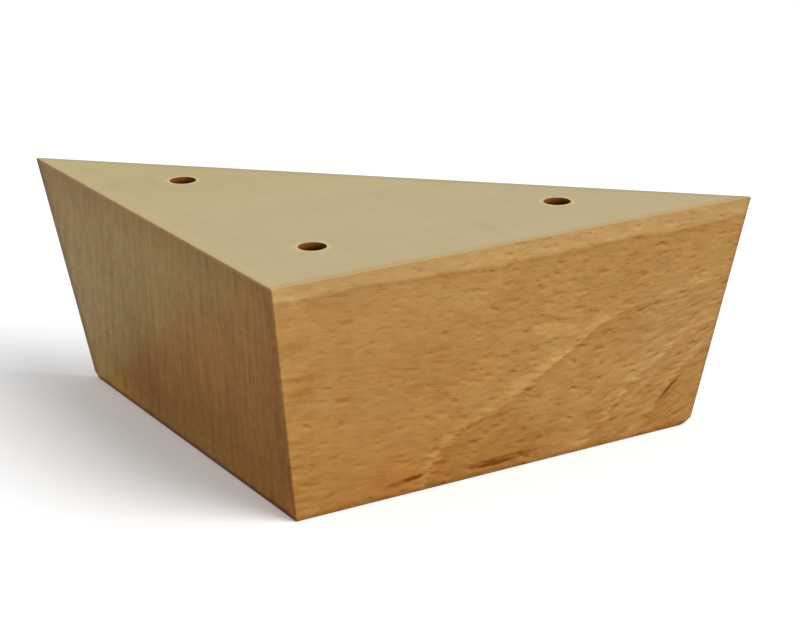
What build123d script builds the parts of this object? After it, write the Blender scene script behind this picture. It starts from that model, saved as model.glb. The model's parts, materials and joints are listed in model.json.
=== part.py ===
"""Triangular corner foot for a sofa or a cupboard, one block of solid beech.

The top is a right-angled triangle with two equal sides. The foot is screwed up against the frame
from below, so each of its three screw holes has a wide counterbore that opens in the sole. The two
outer faces lean inwards on their way down to the sole, and the back face is upright.

Millimetres, +Z up. The origin is on the floor, in the middle of the foot's width and depth.
The right-angled corner points to the front, -Y, and the long back face looks to the rear, +Y.
"""

import os
from math import atan, degrees, sqrt

from build123d import *

# Outer form
side_length = 110.0  # each outer side of the top, from the right-angled corner to a tip
foot_height = 50.0
sole_inset = 7.8  # how far each outer face has come in by the time it reaches the sole

# Edges
arris_radius = 0.3  # every arris is lightly sanded
tip_radius = 4.0  # the thin tips of the sole are rubbed rounder, as seen from the back

# Screw holes, drilled upright
screw_hole_diameter = 5.5  # clears a 5 mm wood screw
head_bore_diameter = 12.0  # lets the screw's head and the driver in
head_bore_depth = 20.0
screw_margin = 11.0  # from the front edges of the sole to the axes of the holes beside them
back_margin = 11.5  # from the back face to the axes of the two holes beside it

# The block is half of a square one that tapers on all sides, sawn through from corner to corner
lean_angle = degrees(atan(sole_inset / foot_height))
sole_side = side_length - 2 * sole_inset
top_width = side_length * sqrt(2)
sole_width = sole_side * sqrt(2)
back_y = top_width / 4

back_plane = Plane.XZ.offset(-back_y)
sole_plane = Plane(origin=(0, back_y, 0), x_dir=(1, 0, 0), z_dir=(0, 0, -1))

# The screws stand in the corners of a smaller triangle, set in from the sole's edges
screw_reach = sole_width / 2 - screw_margin * sqrt(2)  # from the back face to the front screw
screw_places = [
    (0, screw_reach),
    (back_margin - screw_reach, back_margin),
    (screw_reach - back_margin, back_margin),
]

with BuildPart() as leg_block:
    # The square block, wider at the top
    with BuildSketch(Plane((0, back_y, 0))):
        Rectangle(sole_side, sole_side, rotation=45)
    extrude(amount=foot_height, taper=-lean_angle)

    # The saw cut from corner to corner leaves the upright back
    split(bisect_by=back_plane, keep=Keep.TOP)

    fillet(leg_block.edges(), radius=arris_radius)

    # The back's outline, with the two lower corners rounded, rubs the tips off
    with BuildSketch(back_plane) as back_outline:
        with BuildLine():
            Polyline(
                (-sole_width / 2, 0),
                (sole_width / 2, 0),
                (top_width / 2, foot_height),
                (-top_width / 2, foot_height),
                close=True,
            )
        make_face()
        fillet(back_outline.vertices().group_by(Axis.Y)[0], radius=tip_radius)
    extrude(amount=top_width / 2, mode=Mode.INTERSECT)

    # Screw holes through the block, counterbored from the sole
    with Locations(sole_plane):
        with Locations(*screw_places):
            CounterBoreHole(screw_hole_diameter / 2, head_bore_diameter / 2, head_bore_depth)

os.makedirs("parts", exist_ok=True)
leg_block.part.label = "leg_block"
export_step(leg_block.part, "parts/leg_block.step")
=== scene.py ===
"""Looks of the triangular corner foot: its beech, the floor under it, the light and the camera.

The foot is a solid block, so its wood is a solid pattern too. Growth rings, ray flecks and fibres
are worked out in three dimensions, and every face cuts through the same piece of wood. The right
outer face runs with the grain and is called the long face. The left one is the end grain.

Sizes and places are in millimetres, apart from what Blender itself takes, which is in metres.
Colours are linear red, green and blue, and a tint is a colour that multiplies another.
"""

import json
from collections import namedtuple
from math import atan, cos, hypot, radians, sqrt

import bpy
from mathutils import Matrix

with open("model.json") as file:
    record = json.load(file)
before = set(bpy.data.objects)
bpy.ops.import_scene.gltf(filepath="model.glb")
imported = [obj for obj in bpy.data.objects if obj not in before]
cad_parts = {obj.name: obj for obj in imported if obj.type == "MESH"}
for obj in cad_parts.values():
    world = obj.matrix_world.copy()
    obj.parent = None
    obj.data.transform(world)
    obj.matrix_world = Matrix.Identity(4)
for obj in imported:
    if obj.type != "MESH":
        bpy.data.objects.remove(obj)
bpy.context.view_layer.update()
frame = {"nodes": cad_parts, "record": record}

MM = 0.001

# The block, as it is drawn
side_length = 110.0  # each outer side of the top
foot_height = 50.0
sole_inset = 7.8  # how far an outer face has come in at the sole
screw_hole_radius = 2.75
head_bore_radius = 6.0
head_bore_depth = 20.0
corner_to_middle = side_length / sqrt(8)  # from the right-angled corner to the origin, along Y
face_skin = (0.14, 0.04)  # depths at which a bare face's finish ends, and at which it is full
lean = sole_inset / foot_height
lean_cosine = cos(atan(lean))

# The rings sweep over the long face in arcs: where each starts at the sole, how far the pale wood
# before its edge reaches, and its strength
Arc = namedtuple("Arc", "start reach strength")
main_arc = Arc(37.0, 5.8, 0.5)
main_glow = Arc(main_arc.start, 16.0, 0.13)
second_arc = Arc(76.0, 2.5, 1.1)
third_arc = Arc(87.6, 2.0, 0.9)
thin_arcs_strength = 0.8
ring_shades = [(16.0, 0.28), (2.5, 0.20)]  # reach and strength of the dark behind a ring's edge
edge_softness = 0.8  # of a ring's edge, to either side of it
arc_bend = 0.053  # an arc has moved along the face by this times the square of its height
arc_depth = 10.0  # and by this times its depth behind the face
arc_lean = 0.003  # the share that the last grows by for each millimetre of height
face_wander = 5.0  # how far the rings stray in the long face
end_wander = 7.0  # and in the end grain
teeth = 4.5  # how far the arcs' edges are drawn out along the grain
end_ring_width = 43.0  # from ring to ring in the end grain, which is about 4 mm of depth
end_ring_unevenness = 44.0

# The lines of the grain in the long face
grain_waves = 0.9
grain_dip = 0.11  # for each millimetre along the face
rise_start = 58.0  # where the grain begins to turn up
grain_rise = 0.0042  # times the square of the distance from there

# Lenses of other wood in the long face. Each has a start and an end, along the face and up it, then
# its thickness and its strength. In the pale table, a strength below 0 makes a dark one
dark_streaks = [
    ((26.5, 2.7), (37.0, 3.7), 0.70, 0.55),
    ((31.0, 3.1), (36.0, 3.6), 0.40, 0.60),
    ((45.0, 2.5), (63.0, 2.9), 0.95, 0.50),
    ((48.0, 2.1), (57.5, 2.2), 0.50, 0.60),
    ((91.4, 6.6), (97.9, 12.9), 0.50, 0.35),
    ((92.8, 8.0), (96.8, 12.0), 0.30, 0.40),
]
pale_fans = [
    ((56.0, 31.0), (71.0, 28.0), 1.6, 1.0),
    ((33.0, 16.5), (42.0, 14.0), 1.3, 0.6),
    ((58.0, 33.2), (70.0, 30.6), 0.5, -1.2),
    ((49.0, 19.0), (64.0, 28.0), 3.0, -0.4),
]

# How far each pattern moves the wood's tone, which runs from 0, dark, to 1, pale
ring_strength = 0.20
fan_strength = 0.13
streak_strength = 0.52
top_layer_strength = 0.17
top_line_strength = 0.09
fibre_strength = 0.11
cloud_strength = 0.16
mottle_strength = 0.10
scale_strength = 0.26
dark_fleck_strength = 0.25
pale_fleck_strength = 0.14
lower_darkening = 0.025
bare_contrast = 0.6  # how much of the wood's evenly spread pattern shows where it is bare
bare_relief = 0.07  # and of its relief

# The wood's colours by its tone
lacquered_colours = [
    (0.0, (0.190, 0.062, 0.006)),
    (0.3, (0.333, 0.159, 0.037)),
    (0.5, (0.416, 0.225, 0.070)),
    (0.7, (0.489, 0.286, 0.094)),
    (1.0, (0.594, 0.386, 0.135)),
]
bare_colours = [
    (0.0, (0.36, 0.285, 0.135)),
    (0.5, (0.47, 0.391, 0.221)),
    (1.0, (0.58, 0.497, 0.320)),
]
lap_colour = (0.50, 0.372, 0.195)  # of the lacquer that laps onto the top
rubbed_long_arris = (0.315, 0.200, 0.090)
rubbed_left_arrises = (0.430, 0.275, 0.115)
# Darkens the arrises: painted contact shadow along the sole, and darker arrises at the back
arris_darkening_tint = (0.46, 0.36, 0.24)
rim_fibres_and_highlight = (0.62, 0.49, 0.29)  # of the pale ring round the holes: torn fibres, and a painted highlight on their eased rims
rim_fade = (4.1, 3.0)  # distances from a hole's axis at which it ends, and at which it is full
rim_strength = 0.6
# The hole walls: dark end grain at the mouth, going to near black below, which is painted shade
# that deepens into the hole
hole_mouth_colour = (0.26, 0.090, 0.020)
hole_shade_colour = (0.050, 0.009, 0.001)

# The finish
lacquer_roughness = 0.32
bare_roughness = 0.77
uneven_roughness = 0.2
wood_ior = 1.5
gloss_level = 0.05
relief_strength = 0.25
relief_height = 0.0001  # metres for each 1 of the grain's relief

# The camera
camera_place = (0.11424, -0.39558, 0.17294)
camera_turn = 14.253  # degrees round the foot from its front, towards +X
camera_drop = 19.084  # degrees that it looks down
camera_roll = -0.744
camera_lens = 99.64
camera_film = 36.0  # its width

# The light
key_turn = 71.0  # degrees round the foot from its front, towards +X
key_rise = 43.0  # degrees above the floor
key_spread = 40.0  # degrees across, so that the shadow is soft
key_strength = 2.9  # W/m2
sky_level = 0.44
floor_reach = 6.0
floor_gap = 0.00005  # keeps the floor and the sole apart
floor_bounce = 0.55  # how much of its light the floor throws back onto the foot
floor_white = 0.88  # how white it is where it is seen, straight or in a reflection
floor_glow = 0.18


class Number:
    """A number on its way from one shader node to the next, which takes part in arithmetic."""

    def __init__(self, shader, socket):
        self.shader = shader
        self.socket = socket

    def __add__(self, other):
        return self.shader.math("ADD", self, other)

    def __sub__(self, other):
        return self.shader.math("SUBTRACT", self, other)

    def __rsub__(self, other):
        return self.shader.math("SUBTRACT", other, self)

    def __mul__(self, other):
        return self.shader.math("MULTIPLY", self, other)

    def __truediv__(self, other):
        return self.shader.math("DIVIDE", self, other)

    __radd__ = __add__
    __rmul__ = __mul__


class Shader:
    """The nodes of one material, or of the world."""

    def __init__(self, owner):
        owner.use_nodes = True
        self.tree = owner.node_tree
        self.tree.nodes.clear()

    def node(self, kind, settings=None, inputs=None, output=0):
        """Adds a node, its settings first and then its sockets, and gives back one output."""
        node = self.tree.nodes.new(kind)
        for name, value in (settings or {}).items():
            if name == "stops":
                set_stops(node.color_ramp, value)
            else:
                setattr(node, name, value)
        for name, value in (inputs or {}).items():
            socket = find_socket(node.inputs, name)
            if isinstance(value, Number):
                self.tree.links.new(value.socket, socket)
            else:
                socket.default_value = value
        return None if output is None else Number(self, find_socket(node.outputs, output))

    def math(self, operation, *values):
        return self.node("ShaderNodeMath", {"operation": operation}, dict(enumerate(values)))

    def largest(self, *values):
        result = values[0]
        for value in values[1:]:
            result = self.math("MAXIMUM", result, value)
        return result

    def fade(self, value, start, end):
        """0 up to start, 1 from end on, and smooth in between. Start may be the larger one."""
        return self.node(
            "ShaderNodeMapRange",
            {"interpolation_type": "SMOOTHSTEP"},
            {"Value": value, "From Min": start, "From Max": end},
        )

    def between(self, value, start, full, waning, end):
        """1 from full to waning, 0 up to start and from end on, and smooth in between."""
        return self.fade(value, start, full) * self.fade(value, end, waning)

    def decay(self, distance, reach):
        """1 up to distance 0, then ever less: about a third at reach."""
        return self.math("EXPONENT", self.math("MAXIMUM", distance, 0.0) / -reach)

    def noise(self, place, size, detail=2.0, roughness=0.5, offset=(0.0, 0.0, 0.0)):
        """Cloudy noise around 0, from about -1 to 1. Size is its grain along each axis."""
        scaled = self.node(
            "ShaderNodeMapping",
            {"vector_type": "POINT"},
            {"Vector": place, "Scale": [1 / s for s in size], "Location": offset},
        )
        value = self.node(
            "ShaderNodeTexNoise",
            {"noise_dimensions": "3D"},
            {"Vector": scaled, "Scale": 1.0, "Detail": detail, "Roughness": roughness},
            "Fac",
        )
        return (value - 0.5) * 2.0

    def vector(self, x, y, z):
        return self.node("ShaderNodeCombineXYZ", inputs={"X": x, "Y": y, "Z": z})

    def ramp(self, value, stops):
        return self.node("ShaderNodeValToRGB", {"stops": stops}, {"Fac": value}, "Color")

    def blend(self, share, first, second, kind="MIX"):
        """Mixes two colours, each a Number or red, green and blue."""
        first, second = (
            colour if isinstance(colour, Number) else (*colour, 1.0) for colour in (first, second)
        )
        return self.node(
            "ShaderNodeMix",
            {"data_type": "RGBA", "blend_type": kind},
            {"Factor": share, "A": first, "B": second},
            "Result",
        )

    def tint(self, colour, tints):
        """Multiplies a colour by tints, given as pairs of how far each goes and the tint."""
        for share, tint in tints:
            colour = self.blend(share, colour, tint, "MULTIPLY")
        return colour


def find_socket(sockets, name):
    """A socket by its number, or by its name among those that are in use."""
    if isinstance(name, int):
        return sockets[name]
    return next(s for s in sockets if s.name == name and s.enabled)


def set_stops(ramp, stops):
    """Sets a colour ramp's stops from (place, colour) pairs."""
    while len(ramp.elements) > 1:
        ramp.elements.remove(ramp.elements[-1])
    for number, (place, colour) in enumerate(stops):
        stop = ramp.elements[0] if number == 0 else ramp.elements.new(place)
        stop.position = place
        stop.color = (*colour, 1.0)


class Block:
    """Where a point of the wood lies in the block.

    Along and across are measured from the top's right-angled corner, along the long face and along
    the end grain. The other places are the height and the depths behind the faces.
    """

    def __init__(self, shader):
        quarter = side_length / 4
        self.place = shader.node(
            "ShaderNodeMapping",
            {"vector_type": "POINT"},
            {
                "Vector": shader.node("ShaderNodeTexCoord", output="Object"),
                "Scale": (1 / MM, 1 / MM, 1 / MM),
                "Rotation": (0, 0, radians(-45)),
                "Location": (quarter, quarter, 0),
            },
        )
        self.along, self.across, self.height = (
            shader.node("ShaderNodeSeparateXYZ", inputs={"Vector": self.place}, output=axis)
            for axis in "XYZ"
        )
        leant = (foot_height - self.height) * lean
        self.behind_right = (self.across - leant) * lean_cosine
        self.behind_left = (self.along - leant) * lean_cosine
        self.before_back = side_length / sqrt(2) - (self.along + self.across) * sqrt(0.5)
        self.below_top = foot_height - self.height


def ring_sides(shader, past):
    """Masks of the wood before a ring's edge and behind it, from the distance past that edge."""
    before = shader.fade(past, edge_softness, -edge_softness)
    behind = shader.fade(past, -edge_softness, edge_softness)
    return before, behind


def ring_edge(shader, arc, past, flame):
    """How pale the wood is before an arc's edge, and how dark behind it."""
    before, behind = ring_sides(shader, past)
    pale = shader.decay(0.0 - past, arc.reach) * flame
    dark = sum(shader.decay(past, reach) * strength for reach, strength in ring_shades)
    return (before * pale - behind * dark) * arc.strength


def main_arc_band(shader, block, past, flame):
    """A pale band before the main arc's edge, and a dark line behind the middle of the arc."""
    before, behind = ring_sides(shader, past)
    pale = 0.85 - shader.fade(block.along, 44.0, 56.0) * 0.52
    pale = pale + shader.fade(block.along, 60.0, 64.0) * 0.60
    pale = pale - shader.fade(block.along, 70.0, 84.0) * 0.68
    # The rings crowd together higher up, so a band of even width takes more of their measure there
    width = block.height * 0.21 + 1.0
    band = shader.fade(past / width, -1.3, -0.8) * before * (flame * 0.5 + 0.45) * pale
    line = shader.decay(past, 3.0) * behind * shader.between(block.along, 50.0, 58.0, 70.0, 80.0)
    return band - line * 0.45


def sweeping_rings(shader, block, rings, grain):
    """The wide arcs of the long face. Their pale sides are broken up like flames."""
    flame = shader.noise(
        grain, (4.4, 8.0, 0.9), detail=3.0, roughness=0.6, offset=(2.0, 5.0, 1.0)
    )
    flame = shader.math("MAXIMUM", 0.85 + flame * 4.4, 0.0)

    past_main = rings - main_arc.start
    bolder = 1.0 + shader.between(block.along, 40.0, 56.0, 72.0, 84.0) * 0.8
    main = ring_edge(shader, main_arc, past_main, flame * 0.2) * bolder
    band = main_arc_band(shader, block, past_main, flame)
    glow = ring_edge(shader, main_glow, past_main, flame)

    curl = shader.fade(block.height, 9.0, 1.0) * 3.0
    second = ring_edge(shader, second_arc, rings - second_arc.start + curl, flame)
    third = ring_edge(shader, third_arc, rings - third_arc.start, flame)

    ring_place = shader.vector(rings, block.height, 0.0)
    thin = shader.noise(ring_place, (3.2, 26.0, 1.0), detail=1.0, offset=(4.0, 2.0, 0.0))
    thin = thin * shader.fade(block.along, 62.0, 84.0) * shader.fade(rings, 34.0, 44.0)
    arcs = main + band + glow + second + third + thin * thin_arcs_strength
    return arcs * shader.fade(rings, 5.0, 18.0)


def upright_rings(shader, block, rings):
    """The narrow rings of the end grain. They differ in width and strength."""
    place = shader.vector(0.0, rings, block.height)
    uneven = shader.noise(place, (1.0, 60.0, 50.0), roughness=0.6, offset=(0.0, 3.0, 0.0))
    turn = shader.math("FRACT", (rings + uneven * end_ring_unevenness) / end_ring_width)
    pale_line = shader.between(turn, 0.45, 0.85, 0.90, 1.0)
    dark_line = shader.between(turn, 0.0, 0.10, 0.10, 0.45)
    strength = shader.noise(place, (1.0, 40.0, 13.0), roughness=0.6, offset=(0.0, 8.0, 2.0))
    strength = 0.05 + shader.fade(strength, -0.3, 0.5) * 0.9
    bands = shader.noise(
        place, (1.0, 13.5, 8.5), detail=3.0, roughness=0.65, offset=(0.0, 1.0, 6.0)
    )
    pores = shader.noise(block.place, (6.0, 1.7, 1.5), roughness=0.6, offset=(6.0, 2.0, 5.0))
    lines = (pale_line - dark_line * 0.8) * strength + bands * 1.55 + pores * 1.3

    # A strip of dark late wood stands just behind the long face
    late_wood = shader.between(block.behind_right, 0.3, 1.5, 3.0, 8.0)
    late_wood = late_wood * shader.fade(block.behind_left, 8.0, 4.0)
    return lines * 0.9 - late_wood * 0.7


def main_arc_bends(shader, block):
    """How far the main arc sags, rises and levels out on its way to the tip."""
    sag = shader.between(block.along, 42.0, 56.0, 64.0, 76.0) * 4.0
    rise = shader.between(block.along, 70.0, 75.0, 78.0, 90.0) * 3.2
    level = shader.math("MAXIMUM", block.along - 88.0, 0.0) * 0.58
    return sag - rise + level


def growth_rings(shader, block, grain):
    """Rings that stand nearly upright in the end grain and sweep over the long face in arcs."""
    inward = shader.fade(block.along, 6.0, 30.0)
    sweep = inward * block.height * block.height * arc_bend
    depth = block.behind_right * (1.0 + block.height * arc_lean) * arc_depth
    wander = shader.noise(block.place, (40.0, 12.0, 30.0), detail=1.0)
    wander = wander * (end_wander + inward * (face_wander - end_wander))
    ragged = shader.noise(
        block.place, (9.0, 3.0, 0.8), detail=3.0, roughness=0.65, offset=(5.0, 0.0, 0.0)
    )
    rings = block.along - sweep - depth + wander + ragged * inward * teeth
    rings = rings - main_arc_bends(shader, block) * shader.fade(rings, 64.0, 50.0)

    # The upright rings keep out of the long face, except beside the end grain, and are weaker at
    # the back
    behind_skin = shader.math("MAXIMUM", block.behind_right, 8.0 - block.behind_left)
    in_end_grain = shader.fade(rings, 20.0, 8.0) * shader.fade(behind_skin, 0.4, 2.5)
    off_back = 0.55 + shader.fade(block.before_back, 0.5, 2.5) * 0.45
    upright = upright_rings(shader, block, rings) * in_end_grain * off_back
    return sweeping_rings(shader, block, rings, grain) + upright


def grain_place(shader, block):
    """A place in the wood by its grain, which dips along the block, then rises beside the arcs."""
    waves = shader.noise(block.place, (14.0, 20.0, 7.0), detail=1.0, offset=(1.0, 2.0, 8.0))
    beyond = shader.math("MAXIMUM", block.along - rise_start, 0.0)
    rise = beyond * beyond * grain_rise * shader.fade(block.height, 50.0, 18.0)
    level = block.height + block.along * grain_dip - rise + waves * grain_waves
    return shader.vector(block.along, block.across, level)


def flat_grain(shader, block, grain):
    """Flecks and scales of the long face, bolder low down and away from the front arris."""
    fleck = (3.6, 25.0, 1.02)
    dark = shader.noise(grain, fleck, roughness=0.6)
    dark = shader.fade(dark, 0.05, 0.55)
    pale = shader.noise(grain, fleck, roughness=0.6, offset=(0.0, 0.0, 0.8))
    pale = shader.fade(pale, 0.05, 0.55)
    scales = shader.noise(
        grain, (4.0, 25.0, 1.15), detail=4.0, roughness=0.72, offset=(31.0, 7.0, 3.0)
    )
    flat = scales * scale_strength - dark * dark_fleck_strength + pale * pale_fleck_strength

    low_near_corner = shader.fade(block.height, 30.0, 16.0) * shader.fade(block.along, 50.0, 35.0)
    bold = 0.78 + shader.fade(block.along, 25.0, 50.0) * 0.48 + low_near_corner * 0.14
    on_skin = 0.08 + shader.fade(block.behind_right, 1.2, 0.3) * 0.92
    return flat * bold * on_skin, dark


def lenses(shader, block, table):
    """Thin lenses of other wood in the long face, ragged at their ends and sides."""
    ragged = shader.noise(block.place, (2.5, 2.0, 0.5), roughness=0.6) * 0.5
    total = 0.0
    for (x0, z0), (x1, z1), thickness, strength in table:
        length = hypot(x1 - x0, z1 - z0)
        run, rise = (x1 - x0) / length, (z1 - z0) / length
        from_x = block.along - (x0 + x1) / 2
        from_z = block.height - (z0 + z1) / 2
        down_it = (from_x * run + from_z * rise) / (length / 2)
        off_it = (from_z * run - from_x * rise) / thickness
        reach = down_it * down_it + off_it * off_it + ragged
        total = total + shader.fade(reach, 1.1, 0.3) * strength
    return total * shader.fade(block.behind_right, 3.0, 1.0)


def top_layer(shader, block):
    """A paler layer along the top of the long face, with a dark line under it."""
    waves = shader.noise(block.place, (14.0, 8.0, 40.0)) * 1.2
    thinner = shader.fade(block.along, 50.0, 10.0)
    wavy = block.height + waves - thinner - block.behind_right * 6.0
    pale = shader.fade(wavy, 45.8, 46.5) * (1.0 - shader.fade(wavy, 47.2, 48.6) * 0.25)
    dark = shader.between(wavy, 44.6, 45.6, 45.6, 46.1)
    return pale * top_layer_strength - dark * top_line_strength


def wood_tone(shader, block):
    """The wood's tone around 0, the part of it that shows in bare wood too, and its relief."""
    grain = grain_place(shader, block)
    flat, flecks = flat_grain(shader, block, grain)
    fibres = shader.noise(
        grain, (14.0, 0.6, 0.6), detail=3.0, roughness=0.7, offset=(0.0, 11.0, 0.0)
    )
    clouds = shader.noise(block.place, (30.0, 12.0, 16.0), offset=(3.0, 9.0, 4.0))
    mottle = shader.noise(block.place, (4.0, 4.0, 4.0), offset=(3.0, 1.0, 4.0))
    lower = shader.fade(block.height, 24.0, 0.0) * lower_darkening
    even = fibres * fibre_strength + clouds * cloud_strength + mottle * mottle_strength - lower

    layers = growth_rings(shader, block, grain) * ring_strength + top_layer(shader, block)
    fans = lenses(shader, block, pale_fans) * fan_strength
    streaks = lenses(shader, block, dark_streaks) * streak_strength
    return layers + fans - streaks + flat + even, even, fibres - flecks


def long_face_tints(shader, block):
    """Where the long face is redder or yellower, and its tint there."""
    along, height = block.along, block.height
    near_corner = shader.fade(along, 70.0, 42.0)
    lower = shader.fade(height, 42.0, 30.0)
    lowest = shader.fade(height, 24.0, 6.0)
    above_sole = shader.fade(height, 14.0, 2.0)
    beside_end_grain = shader.fade(along, 18.0, 8.0) * shader.fade(height, 32.0, 24.0)
    far_end = shader.fade(along, 78.0, 90.0) * shader.between(height, 6.0, 16.0, 28.0, 40.0)
    top_strip = shader.fade(height, 45.5, 47.5)
    return [
        (near_corner * lower, (0.985, 0.93, 0.86)),
        (near_corner * lowest, (0.945, 0.90, 0.82)),
        (above_sole, (0.99, 0.95, 0.88)),
        (beside_end_grain, (1.07, 1.11, 1.15)),
        (far_end, (1.06, 1.09, 1.20)),
        (top_strip, (1.03, 1.09, 1.25)),
    ]


def end_grain_tints(shader, block, hue):
    """Where the end grain is browner, greener, paler or darker, and its tint there. A painted
    reflection of the floor's shadow darkens it below a bent line, and painted light lifts it above
    the sole and at the lower tip.
    """
    across, height, below_top = block.across, block.height, block.below_top

    # Painted reflection of the floor's shadow: it is darker below a bent line from its upper arris
    # at the corner to the tip of the sole
    steep = 60.0 - across * 0.63
    gentle = 48.5 - across * 0.38
    below_line = shader.math("MINIMUM", steep, gentle) - height
    softness = 13.0 - across * 0.11
    reflected_floor_shadow = shader.fade(below_line / softness, -1.0, 1.0)

    everywhere = 1.0
    lower = shader.fade(height, 30.0, 8.0)
    near_corner = shader.fade(across, 60.0, 20.0)
    beside_corner = shader.fade(across, 26.0, 8.0)
    upper_middle = shader.fade(height, 20.0, 30.0) * shader.fade(across, 64.0, 48.0)
    low_middle = shader.fade(height, 18.0, 10.0) * shader.between(across, 18.0, 34.0, 52.0, 72.0)
    greener = shader.fade(hue, 0.3, -0.4) * shader.fade(across, 40.0, 80.0)
    near_top = shader.fade(below_top, 9.0, 0.0)
    beside_top = shader.fade(below_top, 6.0, 1.0)
    upper_corner = shader.fade(across, 36.0, 12.0) * shader.fade(below_top, 10.0, 4.0)
    # Painted light: lifts the end grain just above the sole, against the floor's shade there
    above_sole = shader.fade(height, 9.0, 0.5)
    # Painted light: the lower tip is lifted and made bluer, against the floor's shade there
    lower_tip_painted_light = shader.fade(across, 68.0, 92.0) * shader.fade(height, 34.0, 8.0)
    upper_tip = shader.fade(across, 58.0, 82.0) * shader.fade(height, 26.0, 40.0)
    thin_tip = shader.fade(block.before_back, 7.0, 1.0) * shader.fade(height, 38.0, 48.0)
    return [
        (lower, (0.90, 0.80, 0.66)),
        (everywhere, (0.95, 1.04, 0.67)),
        (reflected_floor_shadow, (1.02, 0.81, 0.55)),
        (near_corner, (0.94, 0.93, 0.90)),
        (beside_corner, (0.98, 0.95, 0.89)),
        (upper_middle, (1.00, 0.985, 0.93)),
        (low_middle, (1.05, 1.09, 1.05)),
        (greener, (0.95, 1.03, 1.05)),
        (near_top, (0.89, 0.81, 0.58)),
        (beside_top, (0.98, 0.94, 0.70)),
        (upper_corner, (1.07, 1.09, 1.05)),
        (above_sole, (1.33, 1.36, 1.06)),
        (lower_tip_painted_light, (1.38, 1.50, 1.98)),
        (upper_tip, (0.98, 0.95, 0.77)),
        (thin_tip, (0.84, 0.76, 0.66)),
    ]


def arris_darkening(shader, block, end_grain):
    """How far the lower arrises are darkened by painted contact shadow, and how far those at the
    back are darker.
    """
    patchy = shader.noise(block.place, (5.0, 5.0, 2.0), roughness=0.6, offset=(7.0, 7.0, 7.0))
    # Painted contact shadow along the arrises at the sole, broken up by noise
    low = shader.fade(block.height + patchy * 0.3, 1.6, 0.3) * 0.50
    low_left = shader.fade(block.height + patchy * 0.5, 1.5, 0.7) * end_grain
    back = shader.fade(block.before_back + patchy * 0.2, 1.5, 0.4) * 0.30
    back_left = shader.fade(block.before_back + patchy * 0.4, 2.8, 1.5) * end_grain * 0.55
    return shader.largest(low, low_left, back, back_left)


def rubbed_arrises(shader, block):
    """How far the two front arrises of the top are rubbed, and their colour."""
    beside_left = shader.fade(block.behind_left, 2.0, 0.5)
    behind_either = shader.math("MINIMUM", block.behind_left, block.behind_right)
    off_arris = shader.math("MAXIMUM", behind_either, block.below_top) - beside_left * 0.25
    share = shader.fade(off_arris, 0.42, 0.10) * (0.92 - beside_left * 0.30)
    return share, shader.blend(beside_left, rubbed_long_arris, rubbed_left_arrises)


def lacquered_wood(shader, block, tone):
    """Beech under satin lacquer. It is redder here and there and its end grain is browner. A
    painted reflection and painted light lie on the end grain, and painted contact shadow on the
    lower arrises.
    """
    hue = shader.noise(block.place, (8.0, 8.0, 4.5), roughness=0.6, offset=(9.0, 4.0, 2.0))
    redder = shader.fade(hue, -0.5, 0.5)
    end_grain = shader.fade(block.behind_left, 1.2, 0.4) * shader.fade(block.behind_right, 0.2, 0.5)
    long_face = 1.0 - end_grain
    front_arris = shader.fade(block.behind_left, 0.35, 0.1)
    front_arris = shader.fade(block.behind_right, 1.6, 0.3) * front_arris

    tints = [(redder, (1.02, 0.975, 0.92))]
    tints += [(long_face * place, tint) for place, tint in long_face_tints(shader, block)]
    tints += [(end_grain * place, tint) for place, tint in end_grain_tints(shader, block, hue)]
    tints.append((front_arris, (0.85, 0.79, 0.70)))
    tints.append((arris_darkening(shader, block, end_grain), arris_darkening_tint))
    colour = shader.tint(shader.ramp(tone + 0.5, lacquered_colours), tints)

    rubbed, rubbed_colour = rubbed_arrises(shader, block)
    return shader.blend(rubbed, colour, rubbed_colour)


def bare_wood(shader, block, even, relief):
    """Unfinished beech, which is paler and greyer and shows no rings."""
    tone = even * bare_contrast + relief * bare_relief + 0.5
    towards_left = shader.fade(block.across, 40.0, 85.0)
    beside_end_grain = shader.fade(block.along, 4.0, 1.5)
    tints = [(towards_left, (0.985, 0.97, 0.92)), (beside_end_grain, (1.05, 1.01, 1.0))]
    colour = shader.tint(shader.ramp(tone, bare_colours), tints)

    # Lacquer laps round both outer arrises onto the top
    left_lap = shader.fade(block.along + even * 2.0, 1.3, 0.5)
    colour = shader.blend(left_lap, colour, lap_colour)
    right_lap = shader.fade(block.across + even * 4.0, 2.6, 0.0)
    back_edge = shader.fade(block.before_back, 3.0, 0.8)
    return shader.tint(colour, [(right_lap, (1.03, 0.83, 0.65)), (back_edge, (0.89, 0.91, 0.97))])


def bored_wood(shader, block, colour):
    """The drilled walls are dark, with painted shade that deepens into the holes, and round the
    holes' rims a pale ring shows torn fibres and a painted highlight.
    """
    # Painted shade: the walls darken with depth into the hole
    into_hole = shader.fade(block.below_top, 0.0, 1.6)
    wall_and_shade = shader.ramp(into_hole, [(0.0, hole_mouth_colour), (1.0, hole_shade_colour)])
    fuzz = shader.noise(block.place, (1.2, 1.2, 1.2), detail=1.0) * 0.9
    at_top = shader.fade(block.below_top, 0.3, 0.1)
    in_head_bore = shader.fade(block.height, head_bore_depth + 0.15, head_bore_depth + 0.05)

    mounts = frame["record"]["mounts"]
    for hole in [mount for mount in mounts if mount["name"].startswith("screw_hole")]:
        x, y = hole["pos_m"][0] / MM, hole["pos_m"][1] / MM
        off_along = block.along - (x + y + corner_to_middle) / sqrt(2)
        off_across = block.across - (y - x + corner_to_middle) / sqrt(2)
        off_axis = shader.math("SQRT", off_along * off_along + off_across * off_across)
        # A pale ring round each hole: torn fibres, and a painted highlight on the eased rim
        rim = shader.fade(off_axis + fuzz, *rim_fade) * at_top
        colour = shader.blend(rim * rim_strength, colour, rim_fibres_and_highlight)
        narrow = shader.fade(off_axis, screw_hole_radius + 0.05, screw_hole_radius + 0.01)
        wide = shader.fade(off_axis, head_bore_radius + 0.08, head_bore_radius + 0.02)
        wall = shader.math("MAXIMUM", narrow, wide * in_head_bore)
        colour = shader.blend(wall, colour, wall_and_shade)
    return colour


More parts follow.
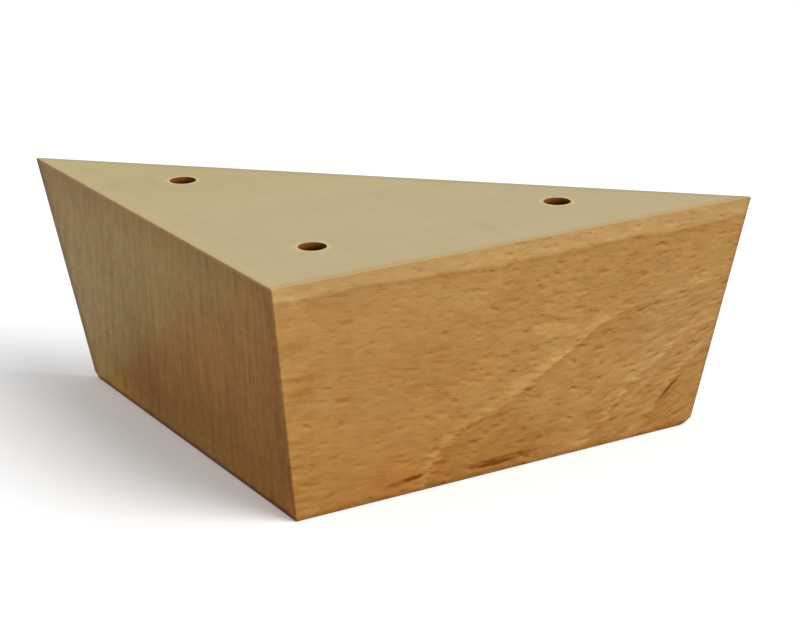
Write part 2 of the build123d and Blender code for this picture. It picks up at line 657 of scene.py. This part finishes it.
def beech():
    """Solid beech, satin lacquered on its upright faces and bare on the top and the sole."""
    material = bpy.data.materials.new("beech")
    shader = Shader(material)
    block = Block(shader)
    tone, even, relief = wood_tone(shader, block)

    is_top = shader.fade(block.below_top, *face_skin)
    is_sole = shader.fade(block.height, *face_skin)
    is_bare = shader.math("MAXIMUM", is_top, is_sole)
    lacquered = lacquered_wood(shader, block, tone)
    outside = shader.blend(is_bare, lacquered, bare_wood(shader, block, even, relief))
    roughness = lacquer_roughness + is_bare * (bare_roughness - lacquer_roughness)
    bump = shader.node(
        "ShaderNodeBump",
        inputs={"Strength": relief_strength, "Distance": relief_height, "Height": relief},
    )
    surface = shader.node(
        "ShaderNodeBsdfPrincipled",
        inputs={
            "Base Color": bored_wood(shader, block, outside),
            "Roughness": roughness + even * uneven_roughness,
            "IOR": wood_ior,
            "Specular IOR Level": gloss_level,
            "Normal": bump,
        },
    )
    shader.node("ShaderNodeOutputMaterial", inputs={"Surface": surface}, output=None)
    return material


def seen(shader):
    """1 for rays that come from the camera, straight, by a reflection or through glass, else 0."""
    kinds = ("Camera", "Glossy", "Transmission")
    return shader.largest(
        *(shader.node("ShaderNodeLightPath", output=f"Is {kind} Ray") for kind in kinds)
    )


def pale_floor():
    """A matt white floor that keeps the foot's soft shadow. Where it is seen, it glows a little."""
    material = bpy.data.materials.new("pale_floor")
    shader = Shader(material)
    is_seen = seen(shader)
    white = shader.blend(is_seen, (floor_bounce,) * 3, (floor_white,) * 3)
    matt = shader.node("ShaderNodeBsdfDiffuse", inputs={"Color": white})
    glow = shader.node(
        "ShaderNodeEmission", inputs={"Color": (1, 1, 1, 1), "Strength": is_seen * floor_glow}
    )
    surface = shader.node("ShaderNodeAddShader", inputs={0: matt, 1: glow})
    shader.node("ShaderNodeOutputMaterial", inputs={"Surface": surface}, output=None)
    return material


def make_floor():
    mesh = bpy.data.meshes.new("floor")
    half = floor_reach / 2
    corners = [(-half, -half), (half, -half), (half, half), (-half, half)]
    mesh.from_pydata([(x, y, -floor_gap) for x, y in corners], [], [(0, 1, 2, 3)])
    mesh.materials.append(pale_floor())
    floor = bpy.data.objects.new("floor", mesh)
    bpy.context.scene.collection.objects.link(floor)


def light_scene():
    """One soft lamp to the right of the camera, and an even sky, pure white where it is seen."""
    lamp = bpy.data.lights.new("key", "SUN")
    lamp.angle = radians(key_spread)
    lamp.energy = key_strength
    key = bpy.data.objects.new("key", lamp)
    bpy.context.scene.collection.objects.link(key)
    key.matrix_world = (
        Matrix.Rotation(radians(key_turn), 4, "Z")
        @ Matrix.Rotation(radians(90 - key_rise), 4, "X")
        @ Matrix.Translation((0, 0, 1))
    )

    world = bpy.data.worlds.new("sky")
    bpy.context.scene.world = world
    shader = Shader(world)
    strength = sky_level + seen(shader) * (1.0 - sky_level)
    sky = shader.node(
        "ShaderNodeBackground", inputs={"Color": (1, 1, 1, 1), "Strength": strength}
    )
    shader.node("ShaderNodeOutputWorld", inputs={"Surface": sky}, output=None)


def place_camera():
    lens = bpy.data.cameras.new("camera")
    lens.lens = camera_lens
    lens.sensor_width = camera_film
    camera = bpy.data.objects.new("camera", lens)
    bpy.context.scene.collection.objects.link(camera)
    camera.matrix_world = (
        Matrix.Translation(camera_place)
        @ Matrix.Rotation(radians(camera_turn), 4, "Z")
        @ Matrix.Rotation(radians(90 - camera_drop), 4, "X")
        @ Matrix.Rotation(radians(camera_roll), 4, "Z")
    )
    bpy.context.scene.camera = camera


leg = frame["nodes"]["leg_block"]
leg.data.materials.clear()
leg.data.materials.append(beech())

make_floor()
light_scene()
place_camera()
bpy.context.scene.view_settings.view_transform = "Standard"
